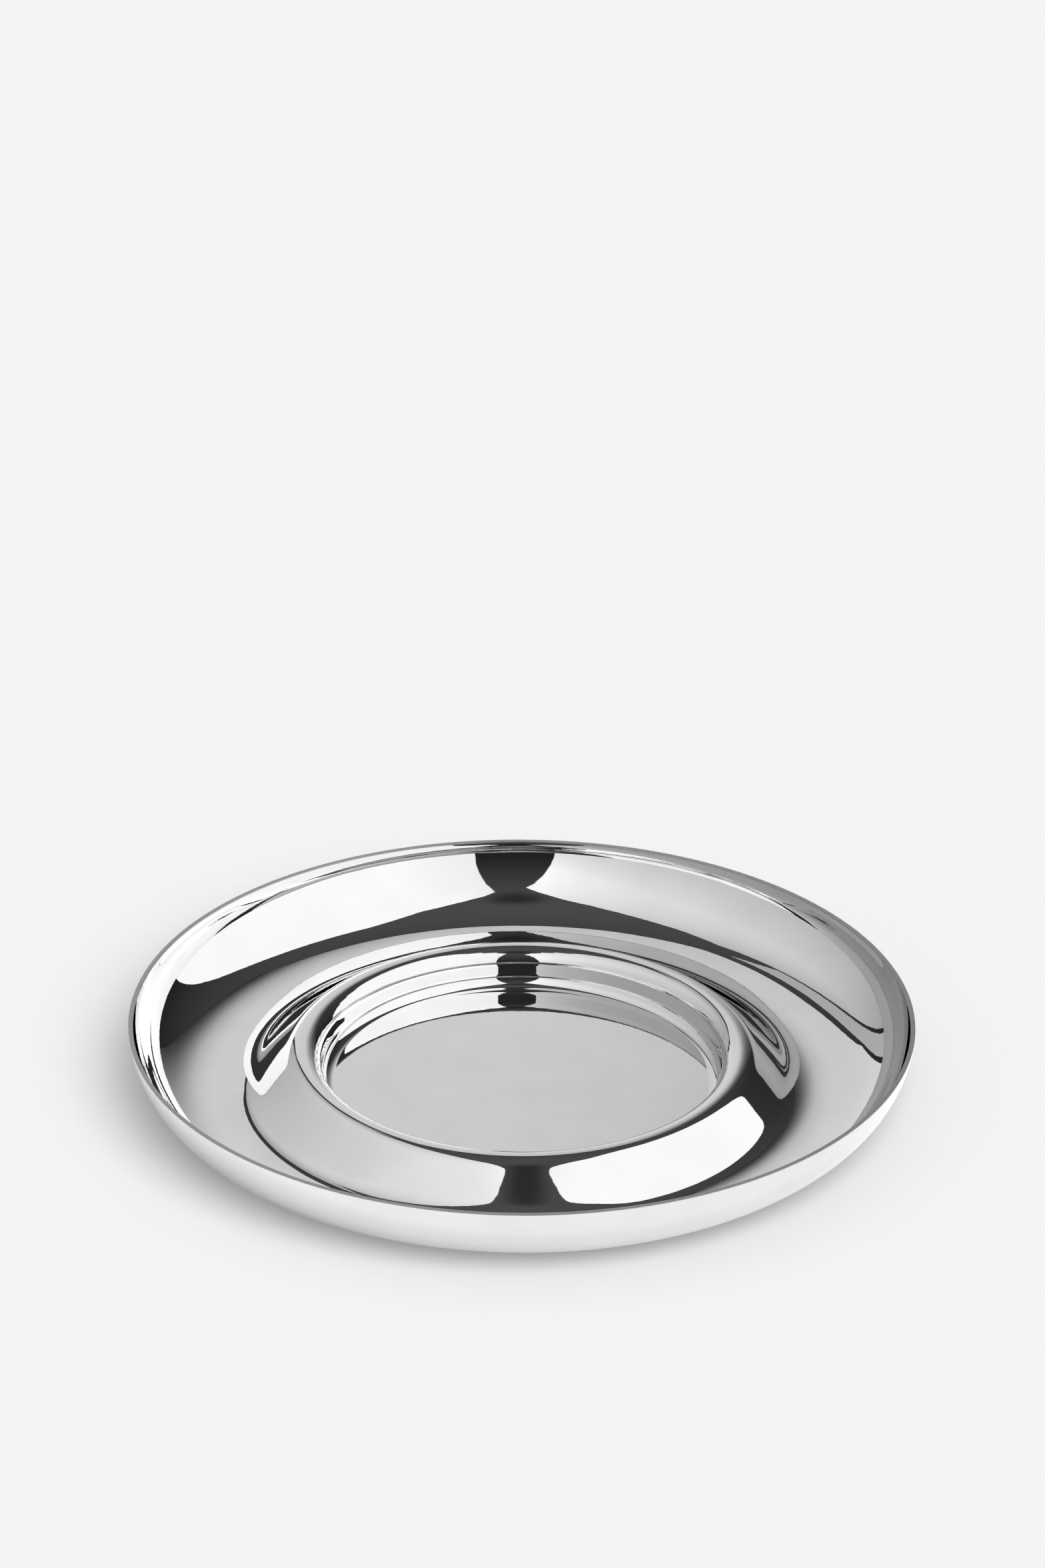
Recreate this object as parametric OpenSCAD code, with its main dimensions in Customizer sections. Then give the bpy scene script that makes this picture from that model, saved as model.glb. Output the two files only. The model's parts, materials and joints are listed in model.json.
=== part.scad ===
// A polished metal saucer in two pressed pieces. The dish carries the rim, the rising wall,
// the valley and the raised ring, whose inner bend turns down to a seam. The well cup makes
// the well's upright wall and its floor, and meets the dish edge to edge in that seam.
// Lengths in mm, angles in degrees, +Z up, centred on the Z axis, resting on z = 0.

/* [Saucer] */
// Outside diameter over the rim
saucer_d = 150; // [135:1:170]
// Height of the rim above the table
rim_h = 15; // [13.5:0.1:17]
// Thickness of both metal sheets
sheet_t = 0.9; // [0.6:0.05:1.2]

/* [Dish wall] */
// How far the wall still leans outward at the rim, from upright
rim_lean = 4.3; // [0:0.1:12]
// Slope at which the wall's bend runs on into the wider bend of the valley
valley_angle = 14; // [8:0.5:18]
// Bend radius of the valley, from that slope to its lowest line
valley_bend = 26; // [16:1:40]
// Gap between the valley's underside and the table
valley_lift = 0.1; // [0:0.05:1]
// Corner broken from the trimmed edge of the rim
edge_break = 0.12; // [0.05:0.01:0.2]

/* [Raised ring] */
// Height of the ring's crest above the table
crest_h = 8.4; // [7.8:0.1:9.4]
// Slope of the ring's outer flank just above its foot
foot_angle = 35; // [32:0.1:37]
// Slope of the flank just below the crest
crest_angle = 39.2; // [38:0.1:44]
// Bend radius where the flank leaves the valley
foot_bend = 10.2; // [5:0.1:12]
// Bend radius on the outside of the crest
crest_bend = 4.2; // [3:0.1:5]
// Bend radius on the inside of the crest
well_bend = 3.4; // [2.5:0.1:3.8]

/* [Well] */
// Inside diameter of the well
well_d = 76.8; // [68:0.2:86]
// Inside bend radius between the well's wall and floor
cup_bend = 2.4; // [1:0.1:2.7]

/* [Hidden] */
$fn = 180;
metal = [0.79, 0.79, 0.80];
cup_metal = [0.75, 0.76, 0.78];

// Steps in which each bend of a section is drawn
wall_steps = 26;
valley_steps = 6;
bend_steps = 12;
flank_steps = 4;

// The well's wall, and the seam where the ring's inner bend meets it
well_r = well_d / 2;
crest_r = well_r + well_bend;
seam_h = crest_h - well_bend;

// The valley's upper face along its lowest line
valley_top = valley_lift + sheet_t;

// The flank is one wide hollow bend, from the bend at its foot to the one at the crest
flank_top_r = crest_r + crest_bend * sin(crest_angle);
flank_top_z = crest_h - crest_bend * (1 - cos(crest_angle));
flank_foot_z = valley_top + foot_bend * (1 - cos(foot_angle));
flank_rise = flank_top_z - flank_foot_z;
flank_mean = (foot_angle + crest_angle) / 2;
flank_foot_r = flank_top_r + flank_rise / tan(flank_mean);
flank_bend = flank_rise / sin(flank_mean) / (2 * sin((crest_angle - foot_angle) / 2));
flank_cx = flank_foot_r + flank_bend * sin(foot_angle);
flank_cz = flank_foot_z + flank_bend * cos(foot_angle);
foot_cx = flank_foot_r + foot_bend * sin(foot_angle);

// The wall rises from the valley to the rim in one bend, which fills its height
rim_out_r = saucer_d / 2;
rim_in_r = rim_out_r - sheet_t / cos(rim_lean);
wall_rise = rim_h - valley_top;
wall_full = (wall_rise - valley_bend * (1 - cos(valley_angle))) / (cos(valley_angle) - sin(rim_lean));
wall_run = wall_full * (cos(rim_lean) - sin(valley_angle)) + valley_bend * sin(valley_angle);

// Where the ring leaves less room, both bends shrink, and the wall leans on straight above them
valley_least = 0.2;
lean_run = wall_rise * tan(rim_lean);
wall_room = rim_in_r - foot_cx - valley_least;
wall_share = min(1, (wall_room - lean_run) / (wall_run - lean_run));
wall_in = wall_full * wall_share;
valley_in = valley_bend * wall_share;
valley_cx = rim_in_r - (1 - wall_share) * lean_run - wall_share * wall_run;
valley_c = [valley_cx, valley_top + valley_in];
wall_c = valley_c + (valley_in - wall_in) * [sin(valley_angle), -cos(valley_angle)];
wall_step = (90 - rim_lean - valley_angle) / wall_steps;

// Points of a bend from angle a0 to a1 about c
function arc(c, r, a0, a1, n) = [
    for (i = [0:n])
        c + r * [cos(a0 + (a1 - a0) * i / n), sin(a0 + (a1 - a0) * i / n)]
];

// The same without its first point, which the stretch before it already ends on
function arc_on(c, r, a0, a1, n) = [
    for (i = [1:n])
        c + r * [cos(a0 + (a1 - a0) * i / n), sin(a0 + (a1 - a0) * i / n)]
];

// The face of the dish that shows from above, from the rim to the seam
function dish_top() = concat(
    [[rim_in_r + edge_break, rim_h]],
    [[rim_in_r, rim_h - edge_break]],
    arc_on(wall_c, wall_in, -rim_lean, valley_angle - 90, wall_steps),
    arc_on(valley_c, valley_in, valley_angle - 90, -90, valley_steps),
    arc([foot_cx, valley_top + foot_bend], foot_bend, -90, -90 - foot_angle, bend_steps),
    arc_on([flank_cx, flank_cz], flank_bend, -90 - foot_angle, -90 - crest_angle, flank_steps),
    arc_on([crest_r, crest_h - crest_bend], crest_bend, 90 - crest_angle, 90, bend_steps),
    arc_on([crest_r, seam_h], well_bend, 90, 180, bend_steps)
);

// The face underneath, from the seam back to the rim
function dish_under() = concat(
    arc([crest_r, seam_h], well_bend - sheet_t, 180, 90, bend_steps),
    arc_on([crest_r, crest_h - crest_bend], crest_bend - sheet_t, 90, 90 - crest_angle, bend_steps),
    arc_on([flank_cx, flank_cz], flank_bend + sheet_t, -90 - crest_angle, -90 - foot_angle, flank_steps),
    arc_on([foot_cx, valley_top + foot_bend], foot_bend + sheet_t, -90 - foot_angle, -90, bend_steps),
    arc(valley_c, valley_in + sheet_t, -90, valley_angle - 90, valley_steps),
    arc_on(wall_c, wall_in + sheet_t, valley_angle - 90, -rim_lean - wall_step, wall_steps - 1),
    [[rim_out_r, rim_h - edge_break]],
    [[rim_out_r - edge_break, rim_h]]
);

// Half section of the well cup: underside, outer wall, edge in the seam, inner wall, floor
function cup_section() = concat(
    [[0, 0]],
    arc([well_r - cup_bend, sheet_t + cup_bend], cup_bend + sheet_t, -90, 0, bend_steps),
    [[well_r + sheet_t, seam_h]],
    [[well_r, seam_h]],
    arc([well_r - cup_bend, sheet_t + cup_bend], cup_bend, 0, -90, bend_steps),
    [[0, sheet_t]]
);

// Rim, wall, valley and raised ring, pressed from one sheet
module dish() {
    color(metal)
        rotate_extrude()
            polygon(concat(dish_top(), dish_under()));
}

// Cup that makes the well, joined to the dish in the seam, with the face the saucer rests on
module well_cup() {
    color(cup_metal)
        rotate_extrude()
            polygon(cup_section());
}

dish();
well_cup();
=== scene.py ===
# %% [markdown]
# # A mirror-polished saucer
# The real saucer is thin sheet metal, made here as two pressings. The dish has an upright rim, a
# curved wall, a shallow valley and a raised ring. The well cup makes the well's wall and floor,
# and meets the ring's inner bend in a seam that is polished away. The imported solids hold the
# sizes and could be shown as they are, but a mirror shows every facet of a coarse mesh. So this
# lesson spins the same two section outlines much more finely.

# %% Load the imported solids
import json
import math

import bmesh
import bpy
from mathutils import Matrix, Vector


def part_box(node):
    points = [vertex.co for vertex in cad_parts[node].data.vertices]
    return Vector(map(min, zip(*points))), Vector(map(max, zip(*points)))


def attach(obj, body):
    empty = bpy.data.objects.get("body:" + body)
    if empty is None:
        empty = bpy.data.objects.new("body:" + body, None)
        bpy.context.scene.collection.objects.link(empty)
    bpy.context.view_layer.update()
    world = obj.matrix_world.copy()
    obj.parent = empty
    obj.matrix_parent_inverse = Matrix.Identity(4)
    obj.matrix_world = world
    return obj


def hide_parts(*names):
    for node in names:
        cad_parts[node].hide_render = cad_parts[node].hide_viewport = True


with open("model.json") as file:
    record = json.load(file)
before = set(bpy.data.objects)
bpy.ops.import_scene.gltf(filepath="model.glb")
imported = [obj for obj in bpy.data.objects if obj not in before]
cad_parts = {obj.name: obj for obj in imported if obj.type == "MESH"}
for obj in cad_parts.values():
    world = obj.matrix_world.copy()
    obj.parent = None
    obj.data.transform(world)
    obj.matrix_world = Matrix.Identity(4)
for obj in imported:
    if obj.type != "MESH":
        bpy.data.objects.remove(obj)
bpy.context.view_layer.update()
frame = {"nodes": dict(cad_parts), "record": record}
print("solids:", sorted(frame["nodes"]))

# %% [markdown]
# ## Sizes
# A press shop draws a saucer as one section, with its outside sizes and the radius of each bend.
# The outside sizes could be typed in, but reading them from the solids lets this file follow
# them. A box can't tell the bends inside the sheet, so those are named below, each where it is
# first drawn, in millimetres and degrees.

# %% Read the outside sizes
MM = 0.001

dish_low, dish_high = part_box("dish")
mounts = {mount["name"]: mount for mount in frame["record"]["mounts"]}

rim_r = dish_high.x
rim_h = dish_high.z
well_r = mounts["well"]["dims"]["r_mm"] * MM
seam_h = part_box("well_cup")[1].z
sheet_t = mounts["cup_seat"]["pos_m"][2]
valley_top = dish_low.z + sheet_t
print(f"rim: radius {rim_r / MM:.2f} mm, height {rim_h / MM:.2f} mm")
print(f"well: radius {well_r / MM:.2f} mm, seam {seam_h / MM:.2f} mm high")
print(f"sheet: {sheet_t / MM:.2f} mm thick")


# %% Sines and cosines in degrees
def sin(angle):
    """Sine of an angle in degrees."""
    return math.sin(math.radians(angle))


def cos(angle):
    """Cosine of an angle in degrees."""
    return math.cos(math.radians(angle))


print(f"the sine of 30 degrees is {sin(30):.3f}")

# %% [markdown]
# ## Bends
# The wall of the dish rises from the valley in one bend, which runs on into the wider bend of the
# valley. The ring climbs from a bend at its foot over a slightly hollow flank to its crest, and
# turns down into the well. Such a section could be drawn by hand as a curve. Working out each
# centre from the bend beside it is safer, because neighbours then share a direction where they
# meet, and no corner can creep in.

# %% Bends of the wall and the valley
RIM_LEAN = 4.3
VALLEY_ANGLE = 14
VALLEY_BEND = 26 * MM

rim_in_r = rim_r - sheet_t / cos(RIM_LEAN)
wall_rise = rim_h - valley_top - VALLEY_BEND * (1 - cos(VALLEY_ANGLE))
wall_bend = wall_rise / (cos(VALLEY_ANGLE) - sin(RIM_LEAN))
wall_c = Vector((rim_in_r - wall_bend * cos(RIM_LEAN), rim_h + wall_bend * sin(RIM_LEAN)))
valley_c = wall_c - (VALLEY_BEND - wall_bend) * Vector((sin(VALLEY_ANGLE), -cos(VALLEY_ANGLE)))
print(f"wall bend {wall_bend / MM:.2f} mm, valley lowest at radius {valley_c.x / MM:.2f} mm")

# %% Bends of the ring
FOOT_ANGLE = 35
CREST_ANGLE = 39.2
FOOT_BEND = 10.2 * MM
CREST_BEND = 4.2 * MM
WELL_BEND = 3.4 * MM

crest_r = well_r + WELL_BEND
crest_h = seam_h + WELL_BEND
crest_c = Vector((crest_r, crest_h - CREST_BEND))
seam_c = Vector((crest_r, seam_h))
flank_top = crest_c + CREST_BEND * Vector((sin(CREST_ANGLE), cos(CREST_ANGLE)))
flank_rise = flank_top.y - valley_top - FOOT_BEND * (1 - cos(FOOT_ANGLE))
flank_mean = (FOOT_ANGLE + CREST_ANGLE) / 2
flank_bend = flank_rise / sin(flank_mean) / (2 * sin((CREST_ANGLE - FOOT_ANGLE) / 2))
flank_c = flank_top + flank_bend * Vector((sin(CREST_ANGLE), cos(CREST_ANGLE)))
foot_c = flank_c - (flank_bend - FOOT_BEND) * Vector((sin(FOOT_ANGLE), cos(FOOT_ANGLE)))
print(f"crest at radius {crest_r / MM:.2f} mm, {crest_h / MM:.2f} mm high")
print(f"flank hollow to a radius of {flank_bend / MM:.1f} mm")

# %% [markdown]
# ## Face of the dish
# The face is the side of the sheet that shows from above, from the rim to the seam. It could be a
# Blender curve, but a plain list of points is easier to ease and to measure. Every bend gets a
# point close to each of its ends, so that the smooth shading of one stretch doesn't creep into
# the next.

# %% Points round a bend
BEND_STEP = 1.0
LEAST_STEPS = 4
GUARD = 0.05


def bend(centre, radius, start, end, step=BEND_STEP):
    """Points round a bend about centre, both ends included; angles in degrees."""
    steps = max(LEAST_STEPS, round(abs(end - start) / step))
    shares = [0, GUARD / steps] + [i / steps for i in range(1, steps)] + [1 - GUARD / steps, 1]
    angles = [start + (end - start) * share for share in shares]
    return [centre + radius * Vector((cos(angle), sin(angle))) for angle in angles]


print("a quarter turn has", len(bend(crest_c, CREST_BEND, 0, 90)), "points")

# %% Draw the bends of the face in a row
RIM_ROUND = 0.12 * MM

wall_top = -RIM_LEAN - math.degrees(2 * RIM_ROUND / wall_bend)
pressed = bend(wall_c, wall_bend, wall_top, VALLEY_ANGLE - 90)
pressed += bend(valley_c, VALLEY_BEND, VALLEY_ANGLE - 90, -90)[1:]
pressed += bend(foot_c, FOOT_BEND, -90, -90 - FOOT_ANGLE)
pressed += bend(flank_c, flank_bend, -90 - FOOT_ANGLE, -90 - CREST_ANGLE)[1:]
pressed += bend(crest_c, CREST_BEND, 90 - CREST_ANGLE, 90)[1:]
pressed += bend(seam_c, WELL_BEND, 90, 180)[1:]
print("face as drawn:", len(pressed), "points")

# %% [markdown]
# ## Eased bends
# A press doesn't jump from one radius to the next, because the metal flows. A mirror would show
# such a jump as a corner in its reflections. A Smooth modifier could soften the finished mesh,
# but it would also pull in the rim and the seam. So the drawn face is walked in fine even steps,
# and each point moves to the mean of its neighbours. Near both ends the reach shrinks to nothing,
# which keeps the ends and their directions.

# %% Walk the face in fine even steps
FINE_STEP = 0.05 * MM


def even_steps(points):
    """The same line in even fine steps."""
    walked = [points[0]]
    for start, end in zip(points, points[1:]):
        length = (end - start).length
        pieces = max(1, round(length / FINE_STEP))
        walked += [start.lerp(end, i / pieces) for i in range(1, pieces + 1)]
    return walked


walked_face = even_steps(pressed)
print("fine points along the face:", len(walked_face))

# %% Ease the bends into each other
EASE_REACH = 14
EASE_TAPER = 4


def eased(points):
    """Each point moved to the mean of its neighbours on both sides."""
    moved = []
    for i in range(len(points)):
        reach = min(EASE_REACH, i // EASE_TAPER, (len(points) - 1 - i) // EASE_TAPER)
        near = points[i - reach:i + reach + 1]
        moved.append(sum(near, Vector((0, 0))) / len(near))
    return moved


fine_face = eased(eased(walked_face))
moves = [(after - before).length for before, after in zip(walked_face, fine_face)]
print(f"points moved by up to {max(moves) / MM:.3f} mm, along the face and across it")

# %% Keep the points that draw the face well
KEEP_STEP = 0.5 * MM
KEEP_TURN = math.radians(1)


def worth_keeping(points):
    """Places along a fine line that draw it well: close at its ends and where it turns."""
    kept = [0, 1]
    for i in range(2, len(points) - 2):
        turn = (points[i + 1] - points[i]).angle(points[kept[-1] + 1] - points[kept[-1]])
        if turn > KEEP_TURN or (points[i] - points[kept[-1]]).length > KEEP_STEP:
            kept.append(i)
    return kept + [len(points) - 2, len(points) - 1]


places = worth_keeping(fine_face)
face = [fine_face[i] for i in places]
print("points kept for the face:", len(face))


# %% Set the back off by the sheet's thickness
def sideways(points, i, distance):
    """The point beside point i, on the left of the line's direction there."""
    along = points[min(i + 1, len(points) - 1)] - points[max(i - 1, 0)]
    along.normalize()
    return points[i] + distance * Vector((-along.y, along.x))


# The back mirrors little but the table, so every second place between its ends is enough
back_places = places[:2] + places[2:-2:2] + places[-2:]
back = [sideways(fine_face, i, sheet_t) for i in reversed(back_places)]
print("points kept for the back:", len(back))

# %% [markdown]
# ## Section outlines
# A spun piece is its half section turned about the axis. Each outline is a list of runs, and each
# run has a finish: polish where the sheet keeps its mirror, and cut where it was trimmed and its
# bare edge shows. On the dish that is the rim, whose corners were broken with a small round, and
# the edge that hides in the seam. One finish all over would be simpler, but the trimmed rim shows
# as a thin grey line round the real saucer. The cut finish gives that line with a rougher satin
# and a darker grey of painted shade.


# %% Points along a straight run
def straight(start, end, pieces=2):
    """Points inside a straight run, with one close to each end."""
    shares = [GUARD / pieces] + [i / pieces for i in range(1, pieces)] + [1 - GUARD / pieces]
    return [Vector(start).lerp(Vector(end), share) for share in shares]


print("a short straight run has", len(straight((0, 0), (1, 0))), "points")

# %% Outline of the dish
POLISH, CUT = 0, 1
RIM_STEP = 10.0

rim_round_out = Vector((rim_r - RIM_ROUND, rim_h - RIM_ROUND))
rim_round_in = Vector((rim_in_r + RIM_ROUND, rim_h - RIM_ROUND))
dish_runs = [
    (CUT, bend(rim_round_out, RIM_ROUND, 0, 90, RIM_STEP)),
    (CUT, straight((rim_round_out.x, rim_h), (rim_round_in.x, rim_h))),
    (CUT, bend(rim_round_in, RIM_ROUND, 90, 180, RIM_STEP)),
    (POLISH, face[:-1]),
    (CUT, face[-1:]),
    (POLISH, back),
]
print("dish outline:", sum(len(points) for _, points in dish_runs), "points")

# %% Outline of the well cup
CUP_BEND = 2.4 * MM
FLOOR_PIECES = 8

floor_r = well_r - CUP_BEND
wall_foot = sheet_t + CUP_BEND
cup_bend_c = Vector((floor_r, wall_foot))
well_out_r = well_r + sheet_t
cup_runs = [
    (POLISH, [(0, 0)]),
    (POLISH, straight((0, 0), (floor_r, 0), FLOOR_PIECES)),
    (POLISH, bend(cup_bend_c, CUP_BEND + sheet_t, -90, 0)),
    (POLISH, straight((well_out_r, wall_foot), (well_out_r, seam_h))),
    (CUT, [(well_out_r, seam_h)]),
    (POLISH, [(well_r, seam_h)]),
    (POLISH, straight((well_r, seam_h), (well_r, wall_foot))),
    (POLISH, bend(cup_bend_c, CUP_BEND, 0, -90)),
    (POLISH, straight((floor_r, sheet_t), (0, sheet_t), FLOOR_PIECES)),
    (POLISH, [(0, sheet_t)]),
]
print("cup outline:", sum(len(points) for _, points in cup_runs), "points")

# %% [markdown]
# ## Mirror polish
# The sheet was buffed until it mirrors. A Principled shader with full Metallic and no roughness
# would do that, but too cleanly to look real. Real polish keeps three faults: soft clouds of
# slightly different gloss, waves of a few thousandths of a millimetre that make straight
# reflections wander, and hairlines from the buffing wheel that run round the piece. Each is a
# noise texture over the object's own coordinates, in metres. An image could carry them too, but
# it would need unwrapping and would blur in close views.


# %% Start a metal
def node(tree, kind, **settings):
    """A shader node of this kind, with its properties and its inputs set by name."""
    made = tree.nodes.new(kind)
    for name, value in settings.items():
        if hasattr(made, name):
            setattr(made, name, value)
        else:
            made.inputs[name.replace("_", " ").title()].default_value = value
    return made


def start_metal(name):
    """A new metal: its material, node tree and shader, and coordinates in metres."""
    material = bpy.data.materials.new(name)
    material.use_nodes = True
    tree = material.node_tree
    shader = tree.nodes["Principled BSDF"]
    shader.inputs["Metallic"].default_value = 1.0
    place = node(tree, "ShaderNodeTexCoord").outputs["Object"]
    return material, tree, shader, place


mirror_polish, polish_tree, polish_shader, polish_place = start_metal("mirror_polish")
print("started the finish", mirror_polish.name)

# %% Texture of the clouds
CLOUDS_PER_METRE = 90
CLOUD_DETAIL = 4


def noise(tree, vector, scale, detail):
    """A noise texture's value over the given coordinates."""
    made = node(tree, "ShaderNodeTexNoise", scale=scale, detail=detail)
    tree.links.new(vector, made.inputs["Vector"])
    return made.outputs["Fac"]


clouds = noise(polish_tree, polish_place, CLOUDS_PER_METRE, CLOUD_DETAIL)
print(f"clouds about {1000 / CLOUDS_PER_METRE:.0f} mm across")

# %% Clouds in the grey and in the gloss
MIRROR_GREY = 0.56
CLOUD_GREY = 0.53
MIRROR_ROUGHNESS = (0.008, 0.025)
NOISE_MIDDLE = (0.3, 0.7)


def ramp(tree, value, low, high, at_low, at_high, shape="LINEAR"):
    """A value that runs from at_low to at_high while the given one runs from low to high."""
    made = node(tree, "ShaderNodeMapRange", interpolation_type=shape)
    tree.links.new(value, made.inputs["Value"])
    ends = {"From Min": low, "From Max": high, "To Min": at_low, "To Max": at_high}
    for socket, number in ends.items():
        made.inputs[socket].default_value = number
    return made.outputs["Result"]


def texture_metal(tree, shader, texture, greys, roughnesses):
    """Let the middle range of a texture drive the grey and the roughness of a metal."""
    rough = ramp(tree, texture, *NOISE_MIDDLE, *roughnesses)
    tree.links.new(rough, shader.inputs["Roughness"])
    grey = ramp(tree, texture, *NOISE_MIDDLE, *greys)
    colour = node(tree, "ShaderNodeCombineColor")
    for channel in colour.inputs:
        tree.links.new(grey, channel)
    tree.links.new(colour.outputs[0], shader.inputs["Base Color"])


texture_metal(polish_tree, polish_shader, clouds, (MIRROR_GREY, CLOUD_GREY), MIRROR_ROUGHNESS)
print("polish: grey", MIRROR_GREY, "to", CLOUD_GREY, "and roughness", MIRROR_ROUGHNESS)

# %% Waves in the sheet
WAVES_PER_METRE = 250
WAVE_DETAIL = 2
WAVE_DEPTH = 0.007 * MM


def bump(tree, height, depth, before=None):
    """Turn a height into a shading normal; depth is the full height in metres."""
    made = node(tree, "ShaderNodeBump")
    made.inputs["Distance"].default_value = depth
    tree.links.new(height, made.inputs["Height"])
    if before is not None:
        tree.links.new(before, made.inputs["Normal"])
    return made.outputs["Normal"]


waves = noise(polish_tree, polish_place, WAVES_PER_METRE, WAVE_DETAIL)
wavy = bump(polish_tree, waves, WAVE_DEPTH)
print(f"waves about {1000 / WAVES_PER_METRE:.0f} mm long, up to {WAVE_DEPTH / MM:.3f} mm deep")

# %% Coordinates that run round the axis
HAIRLINES_PER_METRE = 2600
HAIRLINES_PER_RADIAN = 9


def off_centre(tree, place, stretch, shift):
    """How far a place is from the origin once it has been stretched and shifted."""
    moved = node(tree, "ShaderNodeVectorMath", operation="MULTIPLY_ADD")
    moved.inputs[1].default_value = stretch
    moved.inputs[2].default_value = shift
    tree.links.new(place, moved.inputs[0])
    distance = node(tree, "ShaderNodeVectorMath", operation="LENGTH")
    tree.links.new(moved.outputs[0], distance.inputs[0])
    return distance.outputs["Value"]


def round_the_axis(tree, place, across, along):
    """Coordinates that are fine across the turning direction and long along it."""
    parts = node(tree, "ShaderNodeSeparateXYZ")
    tree.links.new(place, parts.inputs[0])
    turn = node(tree, "ShaderNodeMath", operation="ARCTAN2")
    tree.links.new(parts.outputs["Y"], turn.inputs[0])
    tree.links.new(parts.outputs["X"], turn.inputs[1])
    joined = node(tree, "ShaderNodeCombineXYZ")
    tree.links.new(off_centre(tree, place, (1, 1, 0), (0, 0, 0)), joined.inputs["X"])
    tree.links.new(turn.outputs[0], joined.inputs["Y"])
    tree.links.new(parts.outputs["Z"], joined.inputs["Z"])
    scale = node(tree, "ShaderNodeVectorMath", operation="MULTIPLY")
    scale.inputs[1].default_value = (across, along, across)
    tree.links.new(joined.outputs[0], scale.inputs[0])
    return scale.outputs[0]


buffed = round_the_axis(polish_tree, polish_place, HAIRLINES_PER_METRE, HAIRLINES_PER_RADIAN)
print(f"hairlines about {1000 / HAIRLINES_PER_METRE:.2f} mm apart")

# %% Hairlines from the buffing wheel
HAIRLINE_DEPTH = 0.0005 * MM
GRAIN_SCALE = 1
GRAIN_DETAIL = 3

hairlines = noise(polish_tree, buffed, GRAIN_SCALE, GRAIN_DETAIL)
wavy_and_buffed = bump(polish_tree, hairlines, HAIRLINE_DEPTH, before=wavy)
polish_tree.links.new(wavy_and_buffed, polish_shader.inputs["Normal"])
print(f"hairlines up to {HAIRLINE_DEPTH / MM:.4f} mm deep")

# %% [markdown]
# ## Trimmed edge
# After pressing, the rim is trimmed and its corners are rubbed round, which leaves a satin edge
# that runs round the saucer as a thin grey line. Polished like the rest, it would mirror the white
# boards and vanish. Its roughness is the real satin. Its metal grey is set at about half of the
# polish's grey, and that is painted shade, which darkens the edge into the grey line. A plain dark
# grey of painted shade would do from afar. The fine turned grain in its roughness, grey and bump
# keeps it true in close views.

# %% Satin and painted shade of the trimmed edge
EDGE_SHADE_GREYS = (0.24, 0.35)
EDGE_ROUGHNESS = (0.28, 0.46)
GRAIN_PER_METRE = 14000
GRAIN_PER_RADIAN = 60
GRAIN_DEPTH = 0.002 * MM

trimmed_edge, edge_tree, edge_shader, edge_place = start_metal("trimmed_edge")
turned = round_the_axis(edge_tree, edge_place, GRAIN_PER_METRE, GRAIN_PER_RADIAN)
grain = noise(edge_tree, turned, GRAIN_SCALE, GRAIN_DETAIL)
# The low greys are painted shade that darkens the edge's metal below the polish. The grain only
# varies them at random.
texture_metal(edge_tree, edge_shader, grain, EDGE_SHADE_GREYS, EDGE_ROUGHNESS)
edge_tree.links.new(bump(edge_tree, grain, GRAIN_DEPTH), edge_shader.inputs["Normal"])
print("trimmed edge: grey", EDGE_SHADE_GREYS, "and roughness", EDGE_ROUGHNESS)

# %% [markdown]
# ## Spinning an outline
# A Screw modifier could turn the outlines, but it gives one material to the whole piece. Here a
# short loop makes one ring of points for each outline point and joins neighbouring rings, so
# every band of faces takes the finish of its own run. A point on the axis stays a single point.

# %% Rings of points and bands of faces
SPIN_STEPS = 240


def ring_of_points(mesh, radius, height):
    """One ring round the axis, or a single point where the outline meets the axis."""
    if radius == 0:
        return [mesh.verts.new((0, 0, height))]
    turns = [2 * math.pi * i / SPIN_STEPS for i in range(SPIN_STEPS)]
    return [mesh.verts.new((radius * math.cos(t), radius * math.sin(t), height)) for t in turns]


def join_rings(mesh, ring, following, finish):
    """A band of faces between two rings."""
    for i in range(SPIN_STEPS):
        j = (i + 1) % SPIN_STEPS
        corners = [ring[i % len(ring)], ring[j % len(ring)]]
        corners += [following[j % len(following)], following[i % len(following)]]
        patch = mesh.faces.new(list(dict.fromkeys(corners)))
        patch.material_index = finish
        patch.smooth = True


print("each ring has", SPIN_STEPS, "points")

# %% Turn a half section into a piece
SHARP_ANGLE = math.radians(30)
FINISHES = {POLISH: mirror_polish, CUT: trimmed_edge}


def spin(name, runs, closed):
    """Turn the runs of a half section about the axis into one piece."""
    mesh = bmesh.new()
    outline = [(finish, point) for finish, points in runs for point in points]
    rings = [ring_of_points(mesh, *point) for _, point in outline]
    for i in range(len(rings) if closed else len(rings) - 1):
        join_rings(mesh, rings[i], rings[(i + 1) % len(rings)], outline[i][0])
    bmesh.ops.recalc_face_normals(mesh, faces=mesh.faces)
    data = bpy.data.meshes.new(name)
    mesh.to_mesh(data)
    mesh.free()
    data.set_sharp_from_angle(angle=SHARP_ANGLE)
    for finish in (POLISH, CUT):
        data.materials.append(FINISHES[finish])
    piece = bpy.data.objects.new(name, data)
    bpy.context.scene.collection.objects.link(piece)
    print(f"{name}: {len(data.polygons)} faces")
    return piece


# %% [markdown]
# ## The dish
# The dish is the larger pressing, from the rim to the seam. Its outline is closed, so turning it
# gives a skin with the sheet's real thickness. A single surface with a Solidify modifier could do
# the same, but it would leave the trimmed rim without its round corners. The table's paint
# doesn't see the dish, which keeps stray flecks of mirrored light off it.

# %% Spin the dish
dish = spin("polished_dish", dish_runs, closed=True)
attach(dish, "root")
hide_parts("dish")
dish.visible_diffuse = False

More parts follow.
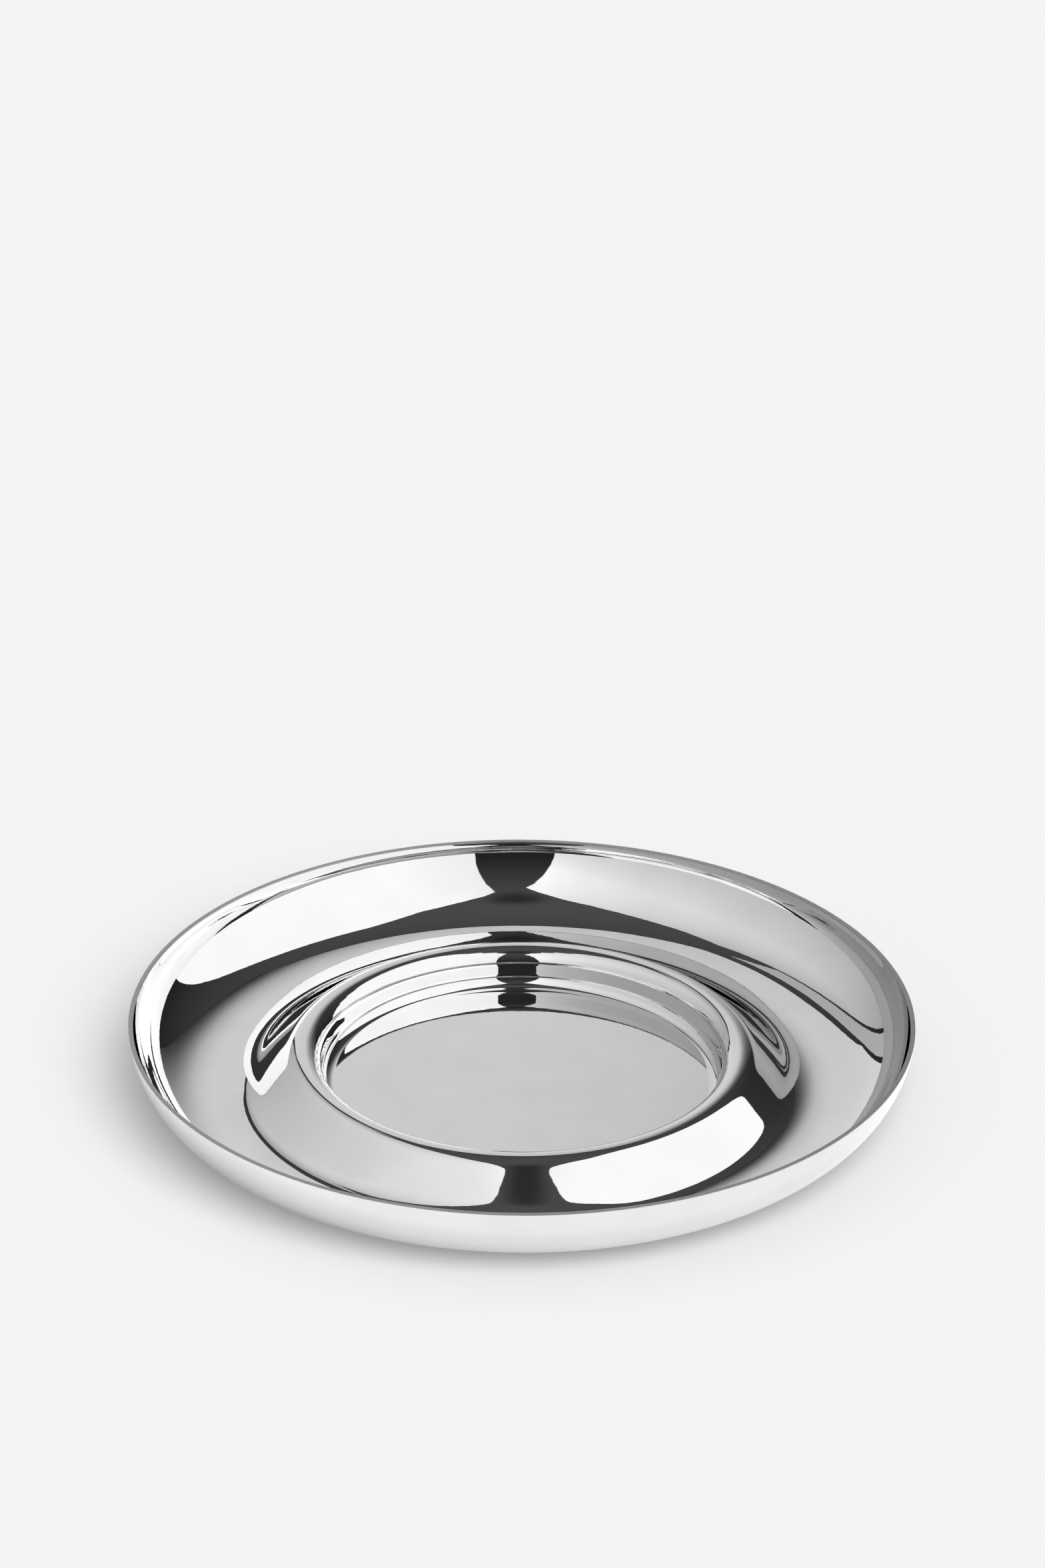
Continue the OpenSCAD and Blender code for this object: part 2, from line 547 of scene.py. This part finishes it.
# %% [markdown]
# ## The well cup
# The well cup is the smaller pressing: the well's wall and floor, and under it the flat face that
# the saucer rests on. Its outline starts and ends on the axis, so it isn't closed there, and the
# middle of the floor becomes a fan of triangles. One large face could fill the floor too, but
# rings of small ones keep its shading even out to the bend.

# %% Spin the well cup
well_cup = spin("polished_well_cup", cup_runs, closed=False)
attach(well_cup, "root")
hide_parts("well_cup")
well_cup.visible_diffuse = False

# %% [markdown]
# ## Table
# The saucer stands on a pale matt table, and its outer wall mirrors that table almost white. Grey
# metal gives back only about half of the light, so the wall would look dull. More lamplight would
# bleach the whole picture. Instead the paint gives some light of its own, which only reflections
# see, and less of it close under the saucer, where the table is in shade.

# %% Table paint
PALE = 0.896
EXTRA_IN_METAL = 0.62
EXTRA_IN_SHADE = 0.1
SHADE_STRETCH = (0.87, 1, 1)
SHADE_SHIFT = (0.007, 0, 0)
SHADE_FROM, SHADE_TO = 0.06, 0.078


def table_paint():
    """A matt pale paint that is brighter where the metal mirrors it than the camera can show."""
    material = bpy.data.materials.new("table_paint")
    material.use_nodes = True
    material.cycles.emission_sampling = "NONE"
    tree = material.node_tree
    shader = tree.nodes["Principled BSDF"]
    shader.inputs["Base Color"].default_value = (PALE, PALE, PALE, 1)
    shader.inputs["Roughness"].default_value = 1.0
    shader.inputs["Specular IOR Level"].default_value = 0.0
    shader.inputs["Emission Color"].default_value = (1, 1, 1, 1)
    place = node(tree, "ShaderNodeTexCoord").outputs["Object"]
    from_saucer = off_centre(tree, place, SHADE_STRETCH, SHADE_SHIFT)
    level = ramp(tree, from_saucer, SHADE_FROM, SHADE_TO, EXTRA_IN_SHADE, EXTRA_IN_METAL)
    extra = node(tree, "ShaderNodeMath", operation="MULTIPLY")
    tree.links.new(node(tree, "ShaderNodeLightPath").outputs["Is Glossy Ray"], extra.inputs[0])
    tree.links.new(level, extra.inputs[1])
    tree.links.new(extra.outputs[0], shader.inputs["Emission Strength"])
    return material


pale_paint = table_paint()
print("table paint: grey", PALE, "with up to", EXTRA_IN_METAL, "more light in the metal")

# %% Lay the table
TABLE_SIDE = 8.0


def upright_sheet(name, corners):
    """A flat sheet in its own XZ plane, with its corners given as (along, up)."""
    data = bpy.data.meshes.new(name)
    data.from_pydata([(along, 0, up) for along, up in corners], [], [range(len(corners))])
    sheet = bpy.data.objects.new(name, data)
    bpy.context.scene.collection.objects.link(sheet)
    return sheet


half = TABLE_SIDE / 2
table = upright_sheet("table", [(-half, -half), (half, -half), (half, half), (-half, half)])
table.rotation_euler.x = math.radians(90)
table.data.materials.append(pale_paint)
print("table:", TABLE_SIDE, "m wide")

# %% [markdown]
# ## Boards
# A mirror has no look of its own: it shows the room. Polished metal is therefore photographed
# between large boards. Area lamps could stand for them, but lamps would light the table too, and
# their outlines are plain. Here each board is a flat sheet of any outline with an Emission
# shader, and only reflections see it. Its grey is given as it should look in the metal, and it
# changes along the board and up it.

# %% Greys as they look in the metal
PICTURE_GAMMA = 2.2


def in_the_metal(tree, grey):
    """Turn a grey of the finished picture, 0 to 1, into the light that shows it in the mirror."""
    light = node(tree, "ShaderNodeGamma", gamma=PICTURE_GAMMA)
    bright = node(tree, "ShaderNodeVectorMath", operation="SCALE")
    bright.inputs["Scale"].default_value = 1 / MIRROR_GREY
    tree.links.new(grey, light.inputs["Color"])
    tree.links.new(light.outputs[0], bright.inputs[0])
    return bright.outputs[0]


def add(tree, first, second):
    """The sum of two values."""
    made = node(tree, "ShaderNodeMath", operation="ADD")
    tree.links.new(first, made.inputs[0])
    tree.links.new(second, made.inputs[1])
    return made.outputs[0]


print(f"white in the metal takes light of {1 / MIRROR_GREY:.2f}")

# %% [markdown]
# ### Right board
# The white areas in the left of the far wall and on the right of the ring mirror a light box that
# reaches high up on the right. A rectangle would be the plain choice, but its reflection would
# end in straight lines where the photograph has slanting and wavy ones. So its back end leans and
# its top dips. In second and third reflections it is brighter than white, as a light box is.

# %% Light of the right board
EVEN = (0, 1, 0, 0)
FIRST_BOUNCE, LAST_BOUNCE = 1, 3


def glow(name, along, up, shape="LINEAR", beyond_white=0):
    """Light whose grey changes along a board and up it, each given as (from, to, grey, grey).

    A first reflection stays inside the greys of a picture. Each later one, up to the third, adds
    beyond_white, because it shows how much brighter the board really is.
    """
    material = bpy.data.materials.new(name)
    material.use_nodes = True
    tree = material.node_tree
    tree.nodes.remove(tree.nodes["Principled BSDF"])
    parts = node(tree, "ShaderNodeSeparateXYZ")
    tree.links.new(node(tree, "ShaderNodeTexCoord").outputs["Object"], parts.inputs[0])
    grey_along = ramp(tree, parts.outputs["X"], *along, shape)
    grey = add(tree, grey_along, ramp(tree, parts.outputs["Z"], *up))
    bounces = node(tree, "ShaderNodeLightPath").outputs["Glossy Depth"]
    most_extra = (LAST_BOUNCE - FIRST_BOUNCE) * beyond_white
    grey = add(tree, grey, ramp(tree, bounces, FIRST_BOUNCE, LAST_BOUNCE, 0, most_extra))
    light = node(tree, "ShaderNodeEmission")
    tree.links.new(in_the_metal(tree, grey), light.inputs["Color"])
    tree.links.new(light.outputs[0], tree.nodes["Material Output"].inputs["Surface"])
    return material


right_light = glow("right_light", along=(-0.9, -0.3, 0.945, 0.99), up=EVEN, beyond_white=0.27)
print("made", right_light.name)

# %% Stand the right board
RIGHT_ROUND = 76.1
RIGHT_DISTANCE = 0.479


def stand_board(name, round_from_front, distance, corners, material):
    """A tall board that faces the saucer and shows only in reflections."""
    board = upright_sheet(name, corners)
    board.rotation_euler.z = math.radians(round_from_front)
    board.location = (distance * sin(round_from_front), -distance * cos(round_from_front), 0)
    board.data.materials.append(material)
    board.visible_camera = False
    board.visible_diffuse = False
    board.visible_shadow = False
    print(f"{name}: {distance} m away, up to {max(up for _, up in corners)} m high")


right_corners = [
    (-0.885, 0), (0.6, 0), (0.62, 0.4), (0.67, 0.8), (0.73, 1.2), (0.77, 1.6), (0.77, 2.05),
    (0.6, 2.1), (0.4, 2.02), (0.2, 1.94), (0, 2.03), (-0.35, 2.14), (-0.65, 2.26), (-0.92, 2.16),
]
stand_board("right_board", RIGHT_ROUND, RIGHT_DISTANCE, right_corners, right_light)

# %% [markdown]
# ### Left board
# The right of the far wall and the left of the ring mirror a lower grey board that is close by and
# gets lighter towards the front. Between the two boards the dark room shows, as a narrow stripe
# on the near side of the ring and as a round knob in the far wall. A board with an upright end
# would make the knob a plain block. This one leans into the gap as it rises, which gives the knob
# its narrow neck.

# %% Stand the left board
LEFT_ROUND = -75.6
LEFT_DISTANCE = 0.144

left_corners = [
    (-0.455, 0), (0.31, 0), (0.33, 0.15), (0.347, 0.27), (0.387, 0.48), (0.419, 0.63),
    (0.51, 0.91), (0.36, 0.885), (0.23, 0.85), (0.11, 0.83), (0, 0.76), (-0.12, 0.73),
    (-0.3, 0.7), (-0.455, 0.76),
]
left_light = glow("left_light", along=(-0.5, 0.337, 0.561, 0.882), up=(0, 0.222, 0, 0.11))
stand_board("left_board", LEFT_ROUND, LEFT_DISTANCE, left_corners, left_light)

# %% [markdown]
# ### Backdrop and strip
# The floor of the well and the valley mirror the wall behind the table, light on the left and
# falling off to the right. One board with a smooth fade gives that. The grey band between two
# dark lines in the right of the dish's wall is a narrow strip with a gap beside it, which a fade
# can't give, so the strip is a board of its own.

# %% Stand the backdrop and the strip
BACK_ROUND = 183
BACK_DISTANCE = 1.092

back_corners = [
    (-0.665, 0), (0.44, 0), (0.44, 0.55), (0.22, 0.95), (0.2, 1.365), (-0.665, 1.365),
]
back_fade = (-0.78, -0.02, 0.216, 0.816)
back_light = glow("back_light", along=back_fade, up=(0, 1.365, 0, -0.07), shape="SMOOTHSTEP")
stand_board("backdrop", BACK_ROUND, BACK_DISTANCE, back_corners, back_light)

strip_corners = [
    (0.482, 0), (0.68, 0), (0.68, 1.5), (0.36, 1.5), (0.4, 0.95), (0.482, 0.55),
]
strip_light = glow("strip_light", along=(0, 1, 0.65, 0.65), up=EVEN)
stand_board("back_strip", BACK_ROUND, BACK_DISTANCE, strip_corners, strip_light)

# %% [markdown]
# ## Lamps
# The table has an even light and a soft shadow on the left of the saucer. Area lamps would fall
# off across the table, so two sun lamps of wide spread do it: one from the front right for the
# shadow, and one from above that keeps it soft. The metal doesn't show them, because the boards
# already stand for the light that it mirrors.


# %% Hang the lamps
def wide_lamp(name, level, round_from_front, height, spread):
    """A far lamp of wide spread that lights the table but isn't seen in the metal."""
    data = bpy.data.lights.new(name, "SUN")
    data.energy = level
    data.angle = math.radians(spread)
    data.cycles.use_multiple_importance_sampling = False
    lamp = bpy.data.objects.new(name, data)
    lamp.visible_glossy = False
    across = cos(height)
    toward = Vector((sin(round_from_front) * across, -cos(round_from_front) * across, sin(height)))
    lamp.rotation_euler = toward.to_track_quat("Z", "Y").to_euler()
    bpy.context.scene.collection.objects.link(lamp)
    print(f"{name}: level {level}, {height} degrees high")


wide_lamp("key_lamp", level=2.12, round_from_front=26, height=46, spread=50)
wide_lamp("top_lamp", level=0.56, round_from_front=0, height=72, spread=110)

# %% [markdown]
# ## Room
# Between and above the boards the metal mirrors a dark room, a little lighter towards the ceiling
# and darker again in a spot overhead. The table needs some fill from all sides, and the camera
# sees a pale distance. One background can't be all three, so Light Path picks by the kind of ray:
# dark for reflections, an even fill for the table and pale for the camera.

# %% Dark ceiling
DARK_LOW, DARK_HIGH = 0.15, 0.292
CEILING_FROM, CEILING_TO = 0.1, 1.0

world = bpy.data.worlds.new("room")
world.use_nodes = True
bpy.context.scene.world = world
room = world.node_tree
outward = node(room, "ShaderNodeTexCoord").outputs["Generated"]
outward_parts = node(room, "ShaderNodeSeparateXYZ")
room.links.new(outward, outward_parts.inputs[0])
ceiling = ramp(room, outward_parts.outputs["Z"], CEILING_FROM, CEILING_TO, DARK_LOW, DARK_HIGH)
print("ceiling: grey", DARK_LOW, "to", DARK_HIGH)

# %% Darker spot overhead
SPOT_STRETCH = (9, 5, 0)
SPOT_SHIFT = (-0.2, 1.3, 0)
SPOT_FROM, SPOT_TO = 0.2, 1.2
SPOT_CHANGE = -0.1

off_spot = off_centre(room, outward, SPOT_STRETCH, SPOT_SHIFT)
spot = ramp(room, off_spot, SPOT_FROM, SPOT_TO, SPOT_CHANGE, 0, "SMOOTHSTEP")
dark_room = room.nodes["Background"]
room.links.new(in_the_metal(room, add(room, ceiling, spot)), dark_room.inputs["Color"])
print("spot overhead: the grey changes by", SPOT_CHANGE, "at its middle")

# %% Choose by the kind of ray
FILL = 0.35


def even_light(grey):
    """A background of one even grey."""
    made = node(room, "ShaderNodeBackground")
    made.inputs["Color"].default_value = (grey, grey, grey, 1)
    return made


def where_seen(rays, otherwise, shown):
    """Show one background to this kind of ray and the other to all the rest."""
    made = node(room, "ShaderNodeMixShader")
    room.links.new(node(room, "ShaderNodeLightPath").outputs[rays], made.inputs[0])
    room.links.new(otherwise.outputs[0], made.inputs[1])
    room.links.new(shown.outputs[0], made.inputs[2])
    return made


on_table = where_seen("Is Diffuse Ray", dark_room, even_light(FILL))
in_picture = where_seen("Is Camera Ray", on_table, even_light(PALE))
room.links.new(in_picture.outputs[0], room.nodes["World Output"].inputs["Surface"])
print("room: dark in the metal, fill", FILL, "on the table,", PALE, "for the camera")

# %% [markdown]
# ## Camera
# The photograph looks down from about 28 degrees with a long lens. The rim's centre lies below the
# middle of the frame. Lens shift could move it there, but other views would keep that shift. So
# the camera is tipped up and turned by the angle between the two, and rolled a little, because
# the photograph isn't quite level.

# %% Find the camera's angles
FRAME_W, FRAME_H = 1568, 2352
RIM_CENTRE_PX = (783.2, 1520.9)
LENS_PX = 7475
ROLL = 0.36

across_px = RIM_CENTRE_PX[0] - FRAME_W / 2
down_px = RIM_CENTRE_PX[1] - FRAME_H / 2
turn = math.atan((across_px * cos(ROLL) + down_px * sin(ROLL)) / LENS_PX)
tip_up = math.atan((down_px * cos(ROLL) - across_px * sin(ROLL)) / LENS_PX)
print(f"tipped up {math.degrees(tip_up):.2f} degrees, turned {math.degrees(turn):.2f} degrees")

# %% Place the camera
VIEW_DISTANCE = 0.9523
VIEW_ELEVATION = 28.38
SENSOR = 36.0

camera_data = bpy.data.cameras.new("camera")
camera_data.sensor_fit = "VERTICAL"
camera_data.sensor_width = SENSOR
camera_data.sensor_height = SENSOR
camera_data.lens = LENS_PX / FRAME_H * SENSOR
camera = bpy.data.objects.new("camera", camera_data)
rim_centre = Vector((0, 0, rim_h))
toward_camera = Vector((0, -cos(VIEW_ELEVATION), sin(VIEW_ELEVATION)))
camera.location = rim_centre + VIEW_DISTANCE * toward_camera
camera.rotation_euler = (math.radians(90 - VIEW_ELEVATION) + tip_up, 0, turn)
camera.rotation_euler.rotate_axis("Z", math.radians(ROLL))
bpy.context.scene.collection.objects.link(camera)
bpy.context.scene.camera = camera
bpy.context.scene.view_settings.view_transform = "Standard"
print(f"lens {camera_data.lens:.1f} mm, {VIEW_DISTANCE} m from the rim's centre")
